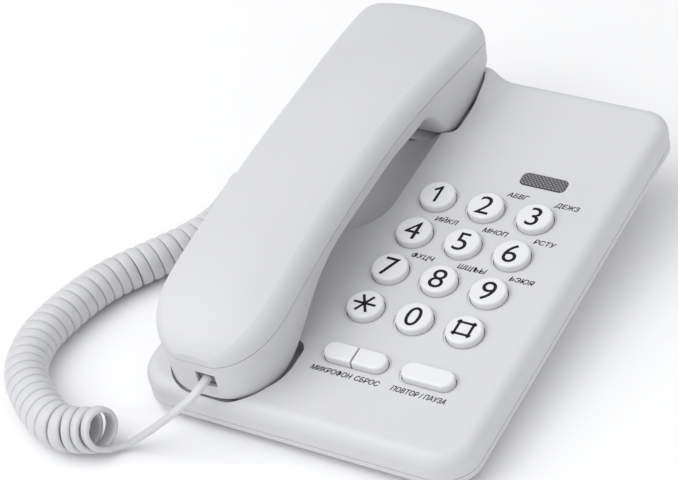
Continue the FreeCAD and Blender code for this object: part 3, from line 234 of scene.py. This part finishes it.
curl_w = []
for i, place in enumerate(curls):
    near = [curls[j] for j in (i - STEPS_PER_CURL, i + STEPS_PER_CURL) if 0 <= j < len(curls)]
    curl_w.append(min((place - p).length for p in near) - CURL_GAP)
print("curls:", round(curl_count, 2),
      "band from", round(min(curl_w), 5), "to", round(max(curl_w), 5))

# %% [markdown]
# ## The band along the whole cord
# The two tails and the curls are one line from plug to plug. At every point of it the strip needs
# a direction for its broad side: along the sweep in the curls, and level where it enters a plug.
# In a tail the strip turns slowly from the one to the other, as a flat lead does. A point of the
# strip that would come to lie under the table is lifted onto it.

# %% Band
BAND_T = 0.0022
TAIL_W = 0.0034
EASE_L = 0.008
SECTION_STEPS = 14
SECTION_POWER = 0.72
SMOOTH_ANGLE = radians(50)

cord_line = base_tail[:-1] + curls + handset_tail[1:]
first_curl = len(base_tail) - 1
last_curl = first_curl + len(curls) - 1
cord_at = distances(cord_line)


def direction(i):
    """The way the cord runs at point i."""
    a, b = cord_line[max(i - 1, 0)], cord_line[min(i + 1, len(cord_line) - 1)]
    return (b - a).normalized()


def square_to(vector, along):
    """The part of a vector that stands square to a direction, at unit length."""
    return (vector - along * vector.dot(along)).normalized()


def carry(broad, i, j):
    """The broad direction, taken from point i to the next one without twist."""
    return square_to(direction(i).rotation_difference(direction(j)) @ broad, direction(j))


broads = [None] * len(cord_line)
for i in range(first_curl, last_curl + 1):
    broads[i] = square_to(sweeps[i - first_curl], direction(i))


def tail_broads(indices, level):
    """Carries the strip from the curls to a plug and spreads the turn that is left over."""
    for i, j in zip(indices, indices[1:]):
        broads[j] = carry(broads[i], i, j)
    end = indices[-1]
    want = square_to(level, direction(end))
    turn = broads[end].angle(want)
    if turn > pi / 2:
        want.negate()
        turn = broads[end].angle(want)
    if broads[end].cross(want).dot(direction(end)) < 0:
        turn = -turn
    for k, j in enumerate(indices):
        broads[j] = Matrix.Rotation(turn * k / (len(indices) - 1), 3, direction(j)) @ broads[j]


tail_broads(list(range(first_curl, -1, -1)), Vector((0, 1, 0)))
tail_broads(list(range(last_curl, len(cord_line))), Vector((1, 0, 0)))

widths = []
for i in range(len(cord_line)):
    inside = min(max(i - first_curl, 0), len(curls) - 1)
    out = max(cord_at[first_curl] - cord_at[i], cord_at[i] - cord_at[last_curl], 0.0)
    ease = min(out / EASE_L, 1.0)
    widths.append(curl_w[inside] * (1 - ease) + TAIL_W * ease)


def section_share(value):
    """A cosine or sine, filled out so that the section is a rounded strip, not an ellipse."""
    return abs(value) ** SECTION_POWER * (1 if value >= 0 else -1)


points, faces = [], []
for i, place in enumerate(cord_line):
    thin = direction(i).cross(broads[i])
    for k in range(SECTION_STEPS):
        a = 2 * pi * k / SECTION_STEPS
        corner = place + broads[i] * (widths[i] / 2 * section_share(cos(a)))
        corner += thin * (BAND_T / 2 * section_share(sin(a)))
        corner.z = max(corner.z, 0.0)
        points.append(corner)
for i in range(len(cord_line) - 1):
    for k in range(SECTION_STEPS):
        n = (k + 1) % SECTION_STEPS
        a, b = i * SECTION_STEPS, (i + 1) * SECTION_STEPS
        faces.append((a + k, a + n, b + n, b + k))
faces.append(tuple(reversed(range(SECTION_STEPS))))
faces.append(tuple(range(len(points) - SECTION_STEPS, len(points))))
cord_mesh = bpy.data.meshes.new("curly_cord")
cord_mesh.from_pydata(points, [], faces)
cord_mesh.update()
curly_cord = bpy.data.objects.new("curly_cord", cord_mesh)
bpy.context.collection.objects.link(curly_cord)
bpy.ops.object.select_all(action="DESELECT")
curly_cord.select_set(True)
bpy.context.view_layer.objects.active = curly_cord
bpy.ops.object.mode_set(mode="EDIT")
bpy.ops.mesh.select_all(action="SELECT")
bpy.ops.mesh.normals_make_consistent(inside=False)
bpy.ops.object.mode_set(mode="OBJECT")
bpy.ops.object.shade_smooth_by_angle(angle=SMOOTH_ANGLE)

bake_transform(curly_cord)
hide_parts("curly_cord_coil", "cord_tail_base", "cord_tail_handset")
print("cord:", round(cord_at[-1], 3), "m", len(points), "points")

# %% [markdown]
# ## Finishes
# Moulded plastic is never one flat colour: the tool's surface leaves a fine grain, the tone drifts
# a little over a large wall, and the gloss varies with the grain. Each finish here is a small
# network of nodes on Object coordinates: a slow noise for the tone, a fine noise for the grain and
# the gloss.

# %% Plastic finishes
TONE_LOW, TONE_HIGH = 0.3, 0.7
TONE_DETAIL = 3.0
GRAIN_DETAIL = 2.0
GRAIN_STRENGTH = 0.35
INK_SPECULAR = 0.1


def finish_of(name):
    """A new material, its nodes, its links and its shader."""
    made = bpy.data.materials.new(name)
    made.use_nodes = True
    tree = made.node_tree
    return made, tree.nodes, tree.links, tree.nodes["Principled BSDF"]


def object_coords(nodes):
    """The Object coordinates of a finish, from one node that its textures share."""
    coords = nodes.get("coords")
    if coords is None:
        coords = nodes.new("ShaderNodeTexCoord")
        coords.name = "coords"
    return coords.outputs["Object"]


def noise(nodes, links, scale, detail):
    """A noise texture's value."""
    texture = nodes.new("ShaderNodeTexNoise")
    texture.inputs["Scale"].default_value = scale
    texture.inputs["Detail"].default_value = detail
    links.new(object_coords(nodes), texture.inputs["Vector"])
    return texture.outputs["Fac"]


def ramp(nodes, links, value, dark, light, low=TONE_LOW, high=TONE_HIGH):
    """The colour between two colours, the first at the low value and the second at the high one."""
    tones = nodes.new("ShaderNodeValToRGB")
    tones.color_ramp.elements[0].position = low
    tones.color_ramp.elements[0].color = (*dark, 1)
    tones.color_ramp.elements[1].position = high
    tones.color_ramp.elements[1].color = (*light, 1)
    links.new(value, tones.inputs["Fac"])
    return tones.outputs["Color"]


def relief(nodes, links, shader, height, strength, depth, invert=False):
    """Bumps of this depth in the surface."""
    bump = nodes.new("ShaderNodeBump")
    bump.inputs["Strength"].default_value = strength
    bump.inputs["Distance"].default_value = depth
    bump.invert = invert
    links.new(height, bump.inputs["Height"])
    links.new(bump.outputs["Normal"], shader.inputs["Normal"])


def moulded(name, dark, light, gloss_low, gloss_high, grain, depth, tone_scale=14.0):
    """Moulded plastic or rubber: tone, gloss and grain from noise."""
    made, nodes, links, shader = finish_of(name)
    tone = noise(nodes, links, tone_scale, TONE_DETAIL)
    fine = noise(nodes, links, grain, GRAIN_DETAIL)
    links.new(ramp(nodes, links, tone, dark, light), shader.inputs["Base Color"])
    gloss = nodes.new("ShaderNodeMapRange")
    gloss.inputs["To Min"].default_value = gloss_low
    gloss.inputs["To Max"].default_value = gloss_high
    links.new(fine, gloss.inputs["Value"])
    links.new(gloss.outputs["Result"], shader.inputs["Roughness"])
    relief(nodes, links, shader, fine, GRAIN_STRENGTH, depth)
    return made


# Dark and light tone, roughness from and to, scale and depth of the grain, scale of the tone
case_grey = moulded("case_grey", (0.615, 0.616, 0.630), (0.642, 0.643, 0.655),
                    0.38, 0.52, 1600, 0.00006)
key_grey = moulded("key_grey", (0.750, 0.751, 0.760), (0.775, 0.776, 0.784),
                   0.30, 0.42, 1800, 0.00003)
cord_grey = moulded("cord_grey", (0.600, 0.601, 0.615), (0.640, 0.641, 0.652),
                    0.36, 0.50, 900, 0.00005, 60.0)
foot_black = moulded("foot_black", (0.012, 0.012, 0.013), (0.022, 0.022, 0.023),
                     0.65, 0.85, 1200, 0.00006)
membrane_grey = moulded("membrane_grey", (0.30, 0.31, 0.32), (0.36, 0.37, 0.38),
                        0.6, 0.75, 900, 0.00004)
socket_black = moulded("socket_black", (0.015, 0.015, 0.016), (0.028, 0.028, 0.030),
                       0.32, 0.45, 1400, 0.00003)
lamp_red = moulded("lamp_red", (0.42, 0.015, 0.012), (0.55, 0.03, 0.02),
                   0.12, 0.22, 900, 0.00002)
floor_white = moulded("floor_white", (0.90, 0.90, 0.90), (0.92, 0.92, 0.92),
                      0.8, 0.9, 300, 0.00002, 2.0)
ink_black = moulded("ink_black", (0.012, 0.012, 0.013), (0.020, 0.020, 0.021),
                    0.40, 0.55, 2200, 0.00001)
ink_shader = ink_black.node_tree.nodes["Principled BSDF"]
ink_shader.inputs["Specular IOR Level"].default_value = INK_SPECULAR
print("plastic finishes made")

# %% [markdown]
# ## The ring lens and the parts inside
# The ring lamp shines through a small dark window whose face is knurled in a fine diamond pattern.
# The diamonds are a regular grid turned by an eighth of a turn: a Voronoi texture with no
# randomness gives the distance from the middle of each cell, which is used for the relief and for
# a painted shade on the dark window: the middle of each diamond is painted lighter and the grooves
# between them darker. The circuit board has a brick pattern for its tracks, and in steel and clear
# plastic one noise drives both tone and gloss.

# %% Lens, circuit board, steel and clear plastic
lens_grey, nodes, links, shader = finish_of("lens_grey")
turned = nodes.new("ShaderNodeMapping")
turned.inputs["Rotation"].default_value = (0, 0, radians(45))
cells = nodes.new("ShaderNodeTexVoronoi")
cells.distance = "CHEBYCHEV"
cells.inputs["Scale"].default_value = 900.0
cells.inputs["Randomness"].default_value = 0.0
cells.voronoi_dimensions = "2D"
links.new(object_coords(nodes), turned.inputs["Vector"])
links.new(turned.outputs["Vector"], cells.inputs["Vector"])
from_middle = cells.outputs["Distance"]
# Painted shade: the dark tint of the window, painted lighter on the middle of each diamond and
# darker in the low grooves between them.
diamond_painted_shade = ramp(nodes, links, from_middle, (0.30, 0.30, 0.31), (0.045, 0.045, 0.05),
                low=0.12, high=0.45)
links.new(diamond_painted_shade, shader.inputs["Base Color"])
relief(nodes, links, shader, from_middle, strength=0.8, depth=0.0004, invert=True)
shader.inputs["Roughness"].default_value = 0.18

board_green, nodes, links, shader = finish_of("board_green")
tracks = nodes.new("ShaderNodeTexBrick")
tracks.inputs["Scale"].default_value = 60.0
tracks.inputs["Color1"].default_value = (0.02, 0.10, 0.035, 1)
tracks.inputs["Color2"].default_value = (0.025, 0.12, 0.045, 1)
tracks.inputs["Mortar"].default_value = (0.05, 0.20, 0.08, 1)
tracks.inputs["Mortar Size"].default_value = 0.03
links.new(object_coords(nodes), tracks.inputs["Vector"])
links.new(tracks.outputs["Color"], shader.inputs["Base Color"])
shader.inputs["Roughness"].default_value = 0.35


def clouded(name, scale, detail, dark, light, gloss_low, gloss_high):
    """A finish whose tone and gloss follow one noise."""
    made, nodes, links, shader = finish_of(name)
    cloud = noise(nodes, links, scale, detail)
    gloss = ramp(nodes, links, cloud, (gloss_low,) * 3, (gloss_high,) * 3)
    links.new(ramp(nodes, links, cloud, dark, light), shader.inputs["Base Color"])
    links.new(gloss, shader.inputs["Roughness"])
    return made, shader


steel, shader = clouded("zinc_steel", 700, 4.0, (0.50, 0.50, 0.51), (0.66, 0.66, 0.67), 0.22, 0.36)
shader.inputs["Metallic"].default_value = 1.0
plug_clear, shader = clouded("plug_clear", 500, 2.0, (0.30, 0.31, 0.32), (0.42, 0.43, 0.44),
                             0.06, 0.14)
shader.inputs["Transmission Weight"].default_value = 0.7
print("finishes of the lens, the board, the steel and the plugs made")

# %% [markdown]
# ## Finishes on the parts
# Every solid part keeps its own shape and takes one of the finishes in its material slots. The
# wound cord and the floor have no slot yet, so their finish is added.

# %% Finishes on the parts
CAPS = ["1", "2", "3", "4", "5", "6", "7", "8", "9", "star", "0", "hash"]
finishes = [
    (case_grey, ["base_top_shell", "base_bottom_cover", "hook_lever", "handset_upper_shell",
                 "handset_lower_shell"]),
    (key_grey, ["key_" + cap for cap in CAPS] + ["key_mute", "key_flash", "key_redial"]),
    (foot_black, ["foot_front_left", "foot_front_right", "foot_back_left", "foot_back_right",
                  "microphone_cup"]),
    (membrane_grey, ["keypad_membrane"]),
    (socket_black, ["line_jack", "base_cord_jack", "handset_jack", "volume_switch_body",
                    "tone_switch_body", "volume_switch_knob", "tone_switch_knob", "hook_switch",
                    "ringer_buzzer", "receiver_capsule"]),
    (board_green, ["main_board"]),
    (steel, ["board_screws", "case_screws", "handset_screws", "hook_pin", "hook_spring",
             "handset_weight", "microphone"]),
    (lens_grey, ["ring_lens"]),
    (lamp_red, ["ring_lamp"]),
    (plug_clear, ["handset_plug", "base_plug"]),
    (cord_grey, ["curly_cord_coil", "cord_tail_base", "cord_tail_handset"]),
]
dressed = set()
for made, names in finishes:
    for name in names:
        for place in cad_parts[name].material_slots:
            place.material = made
        dressed.add(name)
curly_cord.data.materials.append(cord_grey)
floor.data.materials.append(floor_white)
print("dressed parts:", len(dressed), "left:", sorted(set(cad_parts) - dressed))

# %% [markdown]
# ## Printed digits
# The digits are printed in black on the caps. A text object is the quickest way to a clean letter:
# it is given the thickness of a layer of ink, turned into a mesh, made as tall as the print, and
# laid on the cap. The 1, the star and the square have straight strokes of even width, so they are
# drawn with flat bars. The face of the phone leans back by six degrees, so everything that lies on
# it is placed by the same turn and shift.

# %% Digits
TILT = radians(6)
FACE_Z = 0.027669
ORIGIN_Y = 0.001138
KEY_TOP = 0.0026
KEYPAD = (0.0205, -0.0062)
PITCH = (0.0200, 0.01956)
COLUMNS, ROWS = 3, 4
INK_HALF_T = 0.00004
CAPITAL_H = 0.728
DIGIT_H = 0.0094
STROKE_W = 0.00105
ONE_STEM = ((0.0006, -0.0042), (0.0006, 0.0042))
ONE_FLAG = ((0.0008, 0.0037), (-0.0018, 0.0017))
STAR_R = 0.00445
SQUARE_X, SQUARE_Y = 0.0028, 0.0027
OVERHANG = 0.0010


def on_face(x, y, n):
    """The turn and shift that lay a flat print on the sloping face."""
    back = y * cos(TILT) - n * sin(TILT) - ORIGIN_Y
    height = FACE_Z + y * sin(TILT) + n * cos(TILT)
    return Matrix.Translation(Vector((x, back, height))) @ Matrix.Rotation(TILT, 4, "X")


def joined(name, pieces):
    """One piece made of several."""
    bpy.ops.object.select_all(action="DESELECT")
    for piece in pieces:
        piece.select_set(True)
    bpy.context.view_layer.objects.active = pieces[0]
    bpy.ops.object.join()
    whole = bpy.context.object
    whole.name = name
    return whole


def printed(name, words, height, place, lean=0.0, width=None):
    """Words as a thin layer of ink, with capitals this high, centred on their place."""
    bpy.ops.object.select_all(action="DESELECT")
    bpy.ops.object.text_add()
    text = bpy.context.object
    text.name = name
    text.data.body = words
    text.data.shear = lean
    text.data.extrude = INK_HALF_T
    bpy.ops.object.convert(target="MESH")
    mesh = bpy.context.object.data
    xs = [v.co.x for v in mesh.vertices]
    tall = height / CAPITAL_H
    broad = width / (max(xs) - min(xs)) if width else tall
    centre = Vector(((max(xs) + min(xs)) / 2, CAPITAL_H / 2, 0))
    mesh.transform(place @ Matrix.Diagonal((broad, tall, 1, 1)) @ Matrix.Translation(-centre))
    mesh.materials.clear()
    mesh.materials.append(ink_black)
    return bpy.context.object


def barred(name, bars, place):
    """A sign drawn with straight strokes, each a flat bar from one point to another."""
    strokes = []
    for start, end in bars:
        run = Vector(end) - Vector(start)
        middle = (Vector(start) + Vector(end)) / 2
        bpy.ops.mesh.primitive_cube_add(size=1.0)
        stroke = bpy.context.object
        turn = Matrix.Rotation(-Vector((1, 0)).angle_signed(run), 4, "Z")
        shape = Matrix.Diagonal((run.length, STROKE_W, 2 * INK_HALF_T, 1))
        stroke.data.transform(place @ Matrix.Translation((*middle, 0)) @ turn @ shape)
        strokes.append(stroke)
    sign = joined(name, strokes)
    sign.data.materials.append(ink_black)
    return sign


star_bars = []
for turn in (0, 60, 120):
    arm = Vector((STAR_R * cos(radians(turn)), STAR_R * sin(radians(turn))))
    star_bars.append((-arm, arm))
square_bars = []
reach_x, reach_y = SQUARE_X + OVERHANG, SQUARE_Y + OVERHANG
for side in (-1, 1):
    square_bars.append(((side * SQUARE_X, -reach_y), (side * SQUARE_X, reach_y)))
    square_bars.append(((-reach_x, side * SQUARE_Y), (reach_x, side * SQUARE_Y)))
signs = {"1": [ONE_STEM, ONE_FLAG], "star": star_bars, "hash": square_bars}

key_at = {}
for i, cap in enumerate(CAPS):
    right, up = i % COLUMNS - (COLUMNS - 1) / 2, (ROWS - 1) / 2 - i // COLUMNS
    key_at[cap] = (KEYPAD[0] + right * PITCH[0], KEYPAD[1] + up * PITCH[1])
for cap, (x, y) in key_at.items():
    place = on_face(x, y, KEY_TOP)
    if cap in signs:
        digit = barred("digit_" + cap, signs[cap], place)
    else:
        digit = printed("digit_" + cap, cap, DIGIT_H, place)
    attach(digit, "key_" + cap + "_body")
print("digits:", len(key_at))

# %% [markdown]
# ## Letters and words on the face
# Small slanted letters stand to the upper right of the keys, in the order of the alphabet, and the
# three long keys have a word under them. They are one print on the face of the base, so they are
# joined to one piece.

# %% Letters and words
LETTERS = {
    "2": "АБВГ", "3": "ДЕЖЗ", "4": "ИЙКЛ", "5": "МНОП",
    "6": "РСТУ", "7": "ФХЦЧ", "8": "ШЩЪЫ", "9": "ЬЭЮЯ",
}
WORDS = [
    ("МИКРОФОН", 0.0030, 0.0164),
    ("СБРОС", 0.0173, 0.0097),
    ("ПОВТОР / ПАУЗА", 0.0376, 0.0213),
]
LETTER_H = 0.0023
LETTER_LEAN = 0.25
LETTER_SHIFT = (0.0084, 0.0099)
WORD_Y = -0.0668
PRINT_N = 0.0001

prints = []
for cap, letters in LETTERS.items():
    x, y = key_at[cap]
    place = on_face(x + LETTER_SHIFT[0], y + LETTER_SHIFT[1], PRINT_N)
    prints.append(printed("letters_" + cap, letters, LETTER_H, place, LETTER_LEAN))
for words, x, width in WORDS:
    place = on_face(x, WORD_Y, PRINT_N)
    name = "word_" + str(len(prints))
    prints.append(printed(name, words, LETTER_H, place, LETTER_LEAN, width))
face_print = joined("face_print", prints)
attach(face_print, "base")
print("prints on the face:", len(prints))
